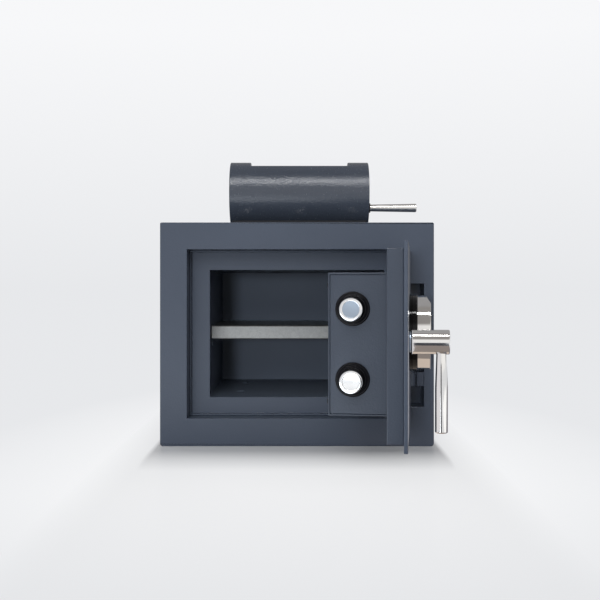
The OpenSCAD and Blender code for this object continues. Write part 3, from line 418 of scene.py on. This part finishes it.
# The shelf: one galvanised sheet with a deep lip folded down all round, laid on four small painted brackets.
# Its zinc has a fine, dull spangle.
def zinc_plate(name, pale, dark, roughness):
    """Hot-dip zinc: small crystals of differing tone, with pin-point specks between them."""
    plate, shader, wire = finish(name, Metallic=0.9)
    place = wire.node("TexCoord", out="Object")
    crystals = wire.node("TexVoronoi", {"Vector": place, "Scale": 230.0}, out="Color")
    tone = wire.node("SeparateColor", {0: crystals}, out=0)
    specks = grain(wire, 650.0, 3)
    mixed = (tone * 0.45 + specks * 0.9 - 0.18).clamped()
    connect(shader, Base_Color=mixed.blend((*dark, 1), (*pale, 1)),
            Roughness=tone * 0.14 + roughness, Normal=relief(wire, specks, 0.03 * MM))
    return plate


shelf_zinc = zinc_plate("shelf_zinc", (0.46, 0.47, 0.47), (0.27, 0.28, 0.28), 0.42)
sheet_metal("shelf", "body", shelf_zinc, 0.5 * MM)
sheet_metal("shelf_supports", "body", inner_lit_coat, 0.3 * MM)


# The hopper's housing: a rolled steel tube with a mouth cut in its top and a throat in its underside.
# It sits in a cradle that is bolted to the roof and whose near-black is painted shade under the tube, and a plate with
# a pivot pin closes each end.
MOUTH_BACK, MOUTH_FRONT = 42, 122
BAND = 28 * MM
HOUSING_WALL = 3.5 * MM
THROAT_HALF = 30
THROAT_WIDE = 110 * MM
ARC_STEP = 3.5


def arc_marks(marks):
    """Angles all the way round, evenly spaced between the marked ones."""
    angles = []
    for start, end in zip(marks, marks[1:] + [marks[0] + 360]):
        count = math.ceil((end - start) / ARC_STEP)
        angles += [start + (end - start) * i / count for i in range(count)]
    return angles


def round_shell(name, box, wall, stations, marks, is_open, paint):
    """A tube along x inside the box, of that wall, with the cells left out that is_open names."""
    lo, hi = box
    axis = Vector((0, (lo.y + hi.y) / 2, (lo.z + hi.z) / 2))
    outside = (hi.y - lo.y) / 2
    angles = arc_marks(marks)
    shape = bmesh.new()

    def ring(x, radius):
        return [shape.verts.new(axis + Vector((x, radius * math.cos(math.radians(a)),
                                               radius * math.sin(math.radians(a))))) for a in angles]

    outer = [ring(x, outside) for x in stations]
    inner = [ring(x, outside - wall) for x in stations]
    count = len(angles)
    kept = {(i, j) for i in range(len(stations) - 1) for j in range(count)
            if not is_open((stations[i] + stations[i + 1]) / 2, angles[j] + 0.1)}
    for i, j in kept:
        k = (j + 1) % count
        shape.faces.new((outer[i][j], outer[i][k], outer[i + 1][k], outer[i + 1][j]))
        shape.faces.new((inner[i][j], inner[i + 1][j], inner[i + 1][k], inner[i][k]))
        for (di, dj), (p, q) in {(-1, 0): ((i, j), (i, k)), (1, 0): ((i + 1, k), (i + 1, j)),
                                 (0, -1): ((i + 1, j), (i, j)), (0, 1): ((i, k), (i + 1, k))}.items():
            if (i + di, (j + dj) % count) not in kept:
                shape.faces.new((outer[p[0]][p[1]], inner[p[0]][p[1]], inner[q[0]][q[1]], outer[q[0]][q[1]]))
    bmesh.ops.delete(shape, geom=[v for v in shape.verts if not v.link_faces], context="VERTS")
    return piece_of(name, shape, paint)


housing_lo, housing_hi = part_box("hopper_housing")
housing_mid = (housing_lo.x + housing_hi.x) / 2


def in_mouth_or_throat(x, angle):
    in_mouth = housing_lo.x + BAND < x < housing_hi.x - BAND and MOUTH_BACK < angle < MOUTH_FRONT
    in_throat = abs(x - housing_mid) < THROAT_WIDE / 2 and abs(angle - 270) < THROAT_HALF
    return in_mouth or in_throat


housing = round_shell("hopper_tube", (housing_lo, housing_hi), HOUSING_WALL,
                      [housing_lo.x, housing_lo.x + BAND, housing_mid - THROAT_WIDE / 2,
                       housing_mid + THROAT_WIDE / 2, housing_hi.x - BAND, housing_hi.x],
                      [MOUTH_BACK, MOUTH_FRONT, 270 - THROAT_HALF, 270 + THROAT_HALF],
                      in_mouth_or_throat, hopper_shaded_coat)
stand_for(soft_edges(housing, 0.7 * MM), "hopper_housing", "body")
sheet_metal("hopper_end_left", "body", hopper_shaded_coat, 0.4 * MM)
sheet_metal("hopper_end_right", "body", hopper_shaded_coat, 0.4 * MM)
sheet_metal("hopper_saddle", "body", painted_shade_cradle_coat, 0.6 * MM)
sheet_metal("chute_liner", "body", inner_lit_coat, 0.3 * MM)
sheet_metal("chute_baffles", "body", inner_lit_coat, 0.3 * MM)


# Flush screws with a hexagon socket hold the cradle to the roof, and a shouldered pin in each end plate
# carries the drum. Both are bright turned steel.
LATHE_STEPS = 96


def turned(name, outline, place, paint):
    """A piece turned on a lathe: (radius, height) points swept round z, then put in its place."""
    shape = bmesh.new()
    line = [shape.verts.new((radius, 0, height)) for radius, height in outline]
    edges = [shape.edges.new(pair) for pair in zip(line, line[1:])]
    bmesh.ops.spin(shape, geom=line + edges, cent=(0, 0, 0), axis=(0, 0, 1),
                   angle=math.tau, steps=LATHE_STEPS, use_merge=True)
    bmesh.ops.remove_doubles(shape, verts=shape.verts, dist=0.001 * MM)
    shape.transform(place)
    return piece_of(name, shape, paint)


def joined(name, pieces):
    """One object from several of the same finish."""
    shape = bmesh.new()
    for piece in pieces:
        shape.from_mesh(piece.data)
    mesh = bpy.data.meshes.new(name)
    shape.to_mesh(mesh)
    shape.free()
    mesh.materials.append(pieces[0].data.materials[0])
    for piece in pieces:
        bpy.data.objects.remove(piece)
    return new_object(name, mesh)


def metal(name, colour, roughness, scratches=0.0, stretch=(1, 1, 1)):
    """Bare or plated metal, with faint smears in its gloss and fine lines along one direction."""
    plate, shader, wire = finish(name, Metallic=1.0)
    smear = grain(wire, 60.0, 3)
    lines = grain(wire, 900.0, 2, stretch)
    duller = tuple(c * 0.9 for c in colour)
    connect(shader, Base_Color=smear.blend((*duller, 1), (*colour, 1)),
            Roughness=(smear - 0.5) * 0.05 + (lines - 0.5) * scratches + roughness,
            Normal=relief(wire, lines, 0.004 * MM))
    return plate


turned_steel = metal("turned_steel", (0.62, 0.62, 0.63), 0.24, 0.2)
SOCKET_HALF = 1.9 * MM


def flush_screw(place):
    """A countersunk screw whose socket is drawn in to a hexagon, with its face at height 0."""
    outline = [(0, -1.6), (2.1, -1.6), (2.1, -0.15), (2.6, 0), (5.2, 0), (5.4, -0.2), (3, -2.5), (3, -6), (0, -6)]
    head = turned("head", [(r * MM, h * MM) for r, h in outline], Matrix(), turned_steel)
    for vertex in head.data.vertices:
        flat = Vector(vertex.co[:2])
        if 0 < flat.length < 2.3 * MM:
            turn = math.degrees(math.atan2(flat.y, flat.x)) % 60 - 30
            reach = SOCKET_HALF / math.cos(math.radians(turn))
            vertex.co.xy = flat.normalized() * reach
    head.data.transform(place)
    return head


screws_lo, screws_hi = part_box("hopper_bolts")
HEAD_REACH = 5.4 * MM
row_x = [screws_lo.x + HEAD_REACH, (screws_lo.x + screws_hi.x) / 2, screws_hi.x - HEAD_REACH]
row_y = [screws_lo.y + HEAD_REACH, screws_hi.y - HEAD_REACH]
heads = [flush_screw(Matrix.Translation((x, y, screws_hi.z))) for x in row_x for y in row_y]
stand_for(joined("cradle_screws", heads), "hopper_bolts", "body")
sheet_metal("drum_pivots", "body", turned_steel, 0.3 * MM)


# The drum: a thin tube between two discs, open on one side, which carries a deposit down past the housing.
# It is painted like the body, and turns on the two pins.
POCKET_HALF = 42
POCKET_END = 14 * MM
DRUM_WALL = 2.5 * MM
drum_lo, drum_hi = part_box("drum_shell")


def in_pocket(x, angle):
    return drum_lo.x + POCKET_END < x < drum_hi.x - POCKET_END and abs(angle - 270) < POCKET_HALF


drum_tube = round_shell("drum_tube", (drum_lo, drum_hi), DRUM_WALL,
                        [drum_lo.x, drum_lo.x + POCKET_END, drum_hi.x - POCKET_END, drum_hi.x],
                        [270 - POCKET_HALF, 270 + POCKET_HALF], in_pocket, coat)
stand_for(soft_edges(drum_tube, 0.5 * MM), "drum_shell", "drum")
sheet_metal("drum_end_left", "drum", coat, 0.3 * MM)
sheet_metal("drum_end_right", "drum", coat, 0.3 * MM)


# The crank rod: polished and chromed steel, a little thicker towards its tip, screwed into the drum's
# right-hand disc and locked there by a dark nut.
CHROME = (0.84, 0.83, 0.81)
chrome = metal("chrome_plate", CHROME, 0.07, 0.04, (0.05, 1, 1))
blackened = metal("blackened_steel", (0.045, 0.045, 0.05), 0.38, 0.1)

rod_lo, rod_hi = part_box("drum_rod")
nut_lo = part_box("drum_rod_nut")[0]
rod_tip = (rod_hi.z - rod_lo.z) / 2
ROD_ROOT = 4.7 * MM
ROD_ROUND = 1.2 * MM
along_x = Matrix.Rotation(math.radians(90), 4, "Y")
rod_len = rod_hi.x - nut_lo.x
rod_place = Matrix.Translation((nut_lo.x, (rod_lo.y + rod_hi.y) / 2, (rod_lo.z + rod_hi.z) / 2)) @ along_x
rod = turned("crank_rod", [(0, -5 * MM), (ROD_ROOT, -5 * MM), (ROD_ROOT, 0), (rod_tip, rod_len - ROD_ROUND),
                           (rod_tip - 0.35 * ROD_ROUND, rod_len - 0.35 * ROD_ROUND),
                           (rod_tip - ROD_ROUND, rod_len), (0, rod_len)], rod_place, chrome)
stand_for(soft_edges(rod, 0.25 * MM, 2), "drum_rod", "drum")
sheet_metal("drum_rod_nut", "drum", blackened, 0.4 * MM)


# The hinge: two fixed knuckles on blocks welded into the frame's pocket, and one long knuckle on the door.
# A bright pin goes through all three.
sheet_metal("hinge_knuckle_lower", "body", coat, 0.5 * MM)
sheet_metal("hinge_knuckle_upper", "body", coat, 0.5 * MM)
sheet_metal("hinge_knuckle_door", "door", coat, 0.5 * MM)
sheet_metal("hinge_pin", "body", turned_steel, 0.4 * MM)


# The door: a flat outer plate, and a folded pan behind it that holds the filling.
# It is drawn shut in the comments and sizes below, and stands open by the hinge's lower limit.
hinge = next(joint for joint in frame["joints"] if joint["name"] == "door_hinge")
DOOR_OPEN = -hinge["range_deg"][0]
door = (Matrix.Translation((hinge["pos_m"][0], hinge["pos_m"][1], 0))
        @ Matrix.Rotation(math.radians(DOOR_OPEN), 4, "Z"))
shut = door.inverted()


def shut_box(node):
    """The lowest and highest corners of a door piece as it lies when the door is shut, from the hinge."""
    points = [shut @ vertex.co for vertex in frame["nodes"][node].data.vertices]
    return (Vector(min(p[i] for p in points) for i in range(3)),
            Vector(max(p[i] for p in points) for i in range(3)))


sheet_metal("door_plate", "door", coat, 0.7 * MM)
sheet_metal("door_pan", "door", door_shaded_coat, 1.2 * MM)
repaint("door_fill", cement)


# The bolt box: two folded end plates on the pan, and a folded cover whose lip stands past the bolt face.
# Four dark pan-head screws hold the cover, and a black nylon collar guides each bolt.
def door_place(x, y, z, turn):
    """A lathe's place on the door, in the shut door's own directions."""
    return door @ Matrix.Translation((x, y, z)) @ turn


sheet_metal("bolt_box", "door", door_shaded_coat, 0.6 * MM)
sheet_metal("bolt_box_cover", "door", door_shaded_coat, 0.8 * MM)

SCREW_REACH = 3.6 * MM
screws_lo, screws_hi = shut_box("cover_screws")
inward = Matrix.Rotation(math.radians(-90), 4, "X")
screw_outline = [(0, 0.9), (1.4, 0.9), (1.4, 2.1), (2.4, 2.0), (3.2, 1.5), (3.6, 0.7), (3.6, 0)]
screws = [turned("screw", [(r * MM, h * MM) for r, h in screw_outline],
                 door_place(x, screws_lo.y, z, inward), blackened)
          for x in (screws_lo.x + SCREW_REACH, screws_hi.x - SCREW_REACH)
          for z in (screws_lo.z + SCREW_REACH, screws_hi.z - SCREW_REACH)]
stand_for(joined("cover_screw_heads", screws), "cover_screws", "door")


def moulded(name, colour, roughness, texture, gloss=0.5):
    """Moulded plastic or rubber with the fine texture of its mould."""
    plastic, shader, wire = finish(name, Specular_IOR_Level=gloss)
    skin = grain(wire, 1600.0, 2)
    cloud = grain(wire, 30.0, 2)
    connect(shader, Base_Color=cloud.blend((*(c * 0.85 for c in colour), 1), (*(c * 1.2 for c in colour), 1)),
            Roughness=(cloud - 0.5) * 0.08 + roughness, Normal=relief(wire, skin, texture))
    return plastic


nylon = moulded("black_nylon", (0.005, 0.005, 0.007), 0.30, 0.02 * MM, 0.15)
COLLAR_PROUD = 2.6 * MM
upper_lo, upper_hi = shut_box("bolt_upper")
lower_lo, lower_hi = shut_box("bolt_lower")
collars_lo, collars_hi = shut_box("bolt_collars")
bolt_r = (upper_hi.z - upper_lo.z) / 2
bolt_y = (upper_hi.y + upper_lo.y) / 2
bolt_heights = ((upper_hi.z + upper_lo.z) / 2, (lower_hi.z + lower_lo.z) / 2)
collar_r = (collars_hi.y - collars_lo.y) / 2
collar_len = collars_hi.x - collars_lo.x
bore_r = bolt_r + 0.1 * MM
collar_outline = [(bore_r, collar_len), (bore_r, 0.8 * MM), (bore_r + 0.3 * MM, 0.25 * MM), (bore_r + 1.0 * MM, 0),
                  (bore_r + 2.4 * MM, 0), (bore_r + 2.6 * MM, 0.7 * MM),
                  (bore_r + 3.2 * MM, 0.7 * MM), (bore_r + 3.4 * MM, 0),
                  (collar_r - 1.2 * MM, 0), (collar_r - 0.4 * MM, 0.3 * MM), (collar_r, 1.0 * MM),
                  (collar_r, COLLAR_PROUD), (bolt_r + 2.4 * MM, COLLAR_PROUD), (bolt_r + 2.4 * MM, collar_len),
                  (bore_r, collar_len)]
collars = [turned("collar", collar_outline, door_place(collars_lo.x, bolt_y, z, along_x), nylon)
           for z in bolt_heights]
stand_for(joined("collar_rings", collars), "bolt_collars", "door")


# The bolt work: two chromed round bolts on a flat zinc-plated bar, an inner guide plate for their tails,
# and the electronic lock, whose bolt rises into a notch of the bar.
zinc_parts = zinc_plate("zinc_parts", (0.62, 0.60, 0.52), (0.36, 0.35, 0.31), 0.34)
bolt_chrome = metal("bolt_chrome", (0.86, 0.87, 0.88), 0.10, 0.06)
dish_steel = metal("dish_steel", (0.36, 0.42, 0.50), 0.32, 0.1)


def locking_bolt(node, box, face_depth, face_paint):
    """A round bolt with a rounded rim; its end face is sunk by the depth given."""
    lo, hi = box
    length = hi.x - lo.x
    stud_from = length - 7 * MM
    rim = 3.6 * MM
    outline = [(0, face_depth * 1.6), ((bolt_r - rim) * 0.6, face_depth * 1.4), (bolt_r - rim, face_depth),
               (bolt_r - rim + 0.2 * MM, 0.12 * MM), (bolt_r - rim + 0.5 * MM, 0), (bolt_r - 1.2 * MM, 0),
               (bolt_r - 0.4 * MM, 0.35 * MM), (bolt_r, 1.2 * MM), (bolt_r, stud_from),
               (4 * MM, stud_from), (4 * MM, length), (0, length)]
    made = turned(node + "_turned", outline,
                  door_place(lo.x, (lo.y + hi.y) / 2, (lo.z + hi.z) / 2, along_x), bolt_chrome)
    made.data.materials.append(face_paint)
    for face in made.data.polygons:
        spot = shut @ face.center
        reach = math.hypot(spot.y - (lo.y + hi.y) / 2, spot.z - (lo.z + hi.z) / 2)
        if spot.x < lo.x + 2 * MM and reach < bolt_r - rim:
            face.material_index = 1
    made.data.set_sharp_from_angle(angle=math.radians(38))
    return stand_for(flat_shaded(made), node, "boltwork")


locking_bolt("bolt_upper", (upper_lo, upper_hi), 0.5 * MM, dish_steel)
locking_bolt("bolt_lower", (lower_lo, lower_hi), 0.3 * MM, bolt_chrome)
sheet_metal("bolt_bar", "boltwork", zinc_parts, 0.4 * MM)
sheet_metal("bolt_guide", "door", zinc_parts, 0.4 * MM)
sheet_metal("lock_body", "door", zinc_parts, 0.8 * MM)
sheet_metal("lock_bolt", "lock_bolt", turned_steel, 0.6 * MM)
cable_skin = moulded("cable_skin", (0.02, 0.02, 0.02), 0.5, 0.05 * MM)
repaint("lock_cable", cable_skin)


# The keypad: a black moulded base screwed to the door, a chromed housing with a slanted cut along its top,
# and a black panel with twelve rubber keys in it.
outward = Matrix.Rotation(math.radians(90), 4, "X")
gloss_black = moulded("gloss_black_plastic", (0.004, 0.004, 0.004), 0.08, 0.004 * MM, 0.2)
base_lo, base_hi = shut_box("keypad_base")
base_r = (base_hi.x - base_lo.x) / 2
base_t = base_hi.y - base_lo.y
pad_x, pad_z = (base_lo.x + base_hi.x) / 2, (base_lo.z + base_hi.z) / 2
BASE_GROOVE = 2.2 * MM
base_outline = [(4 * MM, 0), (base_r, 0), (base_r, BASE_GROOVE), (base_r - 0.5 * MM, BASE_GROOVE + 0.2 * MM),
                (base_r - 0.5 * MM, BASE_GROOVE + 0.8 * MM), (base_r, BASE_GROOVE + 1.0 * MM),
                (base_r, base_t - 1.6 * MM), (base_r - 0.5 * MM, base_t - 0.5 * MM),
                (base_r - 1.6 * MM, base_t), (4 * MM, base_t), (4 * MM, 0)]
base = turned("keypad_back", base_outline, door_place(pad_x, base_hi.y, pad_z, outward), gloss_black)
stand_for(soft_edges(base, 0.15 * MM, 2), "keypad_base", "door")

pad_lo, pad_hi = shut_box("keypad_housing")
pad_r = (pad_hi.x - pad_lo.x) / 2
pad_t = pad_hi.y - pad_lo.y
PANEL_R = 33.1 * MM
CUT_IN, CUT_DOWN = 5.8 * MM, 8.7 * MM
pad_outline = [(PANEL_R, pad_t), (PANEL_R, pad_t - 3.6 * MM), (PANEL_R - 1.1 * MM, pad_t - 3.6 * MM),
               (PANEL_R - 1.1 * MM, pad_t - 5.6 * MM), (pad_r - 6 * MM, pad_t - 5.6 * MM),
               (pad_r - 3 * MM, pad_t - 9.6 * MM), (pad_r - 3 * MM, 0), (pad_r, 0),
               (pad_r, pad_t - 1.5 * MM), (pad_r - 0.45 * MM, pad_t - 0.45 * MM),
               (pad_r - 1.5 * MM, pad_t), (PANEL_R, pad_t)]
shell = turned("keypad_shell", pad_outline, Matrix(), chrome)
shape = bmesh.new()
shape.from_mesh(shell.data)
cut_normal = Vector((0, CUT_IN, CUT_DOWN)).normalized()
cut = bmesh.ops.bisect_plane(shape, geom=shape.verts[:] + shape.edges[:] + shape.faces[:],
                             plane_co=(0, pad_r, pad_t - CUT_IN), plane_no=cut_normal, clear_outer=True)
bmesh.ops.edgenet_fill(shape, edges=[edge for edge in cut["geom_cut"] if isinstance(edge, bmesh.types.BMEdge)])
shape.transform(door_place(pad_x, pad_hi.y, pad_z, outward))
bmesh.ops.recalc_face_normals(shape, faces=shape.faces)
for face in shape.faces:
    face.smooth = True
shape.to_mesh(shell.data)
shape.free()
stand_for(soft_edges(shell, 0.35 * MM), "keypad_housing", "door")
sheet_metal("keypad_panel", "door", gloss_black, 0.3 * MM)


# The keys: twelve dark rubber keys in four rows, each with a plain pale sign printed on it.
# Each is pressed on its own, so its sign rides with it.
rubber = moulded("key_rubber", (0.035, 0.036, 0.040), 0.48, 0.02 * MM)
ink = moulded("pale_ink", (0.62, 0.63, 0.64), 0.55, 0.004 * MM)
KEY_SIGNS = {"key_1": "1", "key_2": "2", "key_3": "3", "key_4": "4", "key_5": "5", "key_6": "6",
             "key_7": "7", "key_8": "8", "key_9": "9", "key_left": "*", "key_0": "0", "key_right": "#"}
SIGN_TALL = 6.2 * MM
INK_THICK = 0.04 * MM

for key, sign in KEY_SIGNS.items():
    sheet_metal(key, key, rubber, 0.7 * MM)
    lo, hi = shut_box(key)
    text = bpy.data.curves.new(key + "_sign", "FONT")
    text.body = sign
    text.size = SIGN_TALL
    text.align_x = "CENTER"
    text.align_y = "CENTER"
    text.extrude = INK_THICK
    text.materials.append(ink)
    mark = new_object(key + "_sign", text)
    mark.matrix_world = door_place((lo.x + hi.x) / 2, lo.y, (lo.z + hi.z) / 2, outward)
    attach(mark, key)


# The handle: a satin steel collar on the door, a round chromed hub on the spindle, and a lever that widens
# below the hub and has a rounded tip. The spindle turns in a bush and carries the cam that moves the bolts.
handle_chrome = metal("handle_chrome", (0.88, 0.87, 0.85), 0.08, 0.05)
hub_lo, hub_hi = shut_box("handle_hub")
hub_r = (hub_hi.x - hub_lo.x) / 2
hub_len = hub_hi.y - hub_lo.y
hub_x, hub_z = (hub_lo.x + hub_hi.x) / 2, (hub_lo.z + hub_hi.z) / 2
HUB_EASE = 1.1 * MM
hub_outline = [(0, 0), (hub_r - HUB_EASE, 0), (hub_r - 0.3 * HUB_EASE, 0.3 * HUB_EASE), (hub_r, HUB_EASE),
               (hub_r, hub_len - HUB_EASE), (hub_r - 0.3 * HUB_EASE, hub_len - 0.3 * HUB_EASE),
               (hub_r - HUB_EASE, hub_len), (0, hub_len)]
hub = turned("hub", hub_outline, door_place(hub_x, hub_hi.y, hub_z, outward), handle_chrome)
hub.data.set_sharp_from_angle(angle=math.radians(50))
stand_for(flat_shaded(hub), "handle_hub", "handle")

lever_lo, lever_hi = shut_box("handle_lever")
lever_r = (lever_hi.x - lever_lo.x) / 2
lever_y = (lever_lo.y + lever_hi.y) / 2
lever_len = hub_z - lever_lo.z
LEVER_ROOT = 5.5 * MM
LEVER_TAPER = 38 * MM
ROOT_AT = hub_r - 2 * MM
TIP_EASE = 1.6 * MM
lever_outline = [(0, ROOT_AT - 3 * MM), (LEVER_ROOT * 0.8, ROOT_AT - 3 * MM), (LEVER_ROOT, ROOT_AT),
                 (lever_r, ROOT_AT + LEVER_TAPER), (lever_r, lever_len - TIP_EASE),
                 (lever_r - 0.12 * TIP_EASE, lever_len - 0.6 * TIP_EASE),
                 (lever_r - 0.4 * TIP_EASE, lever_len - 0.25 * TIP_EASE),
                 (lever_r - TIP_EASE, lever_len), (0, lever_len)]
downward = Matrix.Rotation(math.radians(180), 4, "X")
lever = turned("lever", lever_outline, door_place(hub_x, lever_y, hub_z, downward), handle_chrome)
lever.data.set_sharp_from_angle(angle=math.radians(50))
stand_for(flat_shaded(lever), "handle_lever", "handle")
sheet_metal("handle_rosette", "door", dish_steel, 0.5 * MM)
sheet_metal("handle_spindle", "handle", zinc_parts, 0.4 * MM)
sheet_metal("handle_cam", "handle", zinc_parts, 0.4 * MM)
sheet_metal("spindle_bush", "door", zinc_parts, 0.3 * MM)


# A last card of the studio: pale and upright, it stands just off the door's outer face.
# The left side of the lever mirrors it.
plate_lo = shut_box("door_plate")[0]
lever_card = finish("lever_card", Base_Color=(0, 0, 0, 1), Specular_IOR_Level=0.0,
                    Emission_Color=(0.80, 0.79, 0.82, 1), Emission_Strength=1.0)[0]
CARD_GAP = 3.5 * MM
near_x, far_x = plate_lo.x + 2 * MM, hub_x - 1 * MM
low_z, high_z = plate_lo.z + 4 * MM, hub_z + hub_r
flat_sheet("lever_card", [door @ Vector((x, plate_lo.y - CARD_GAP, z))
                          for x, z in ((near_x, low_z), (far_x, low_z), (far_x, high_z), (near_x, high_z))],
           lever_card, only_mirrored=True)
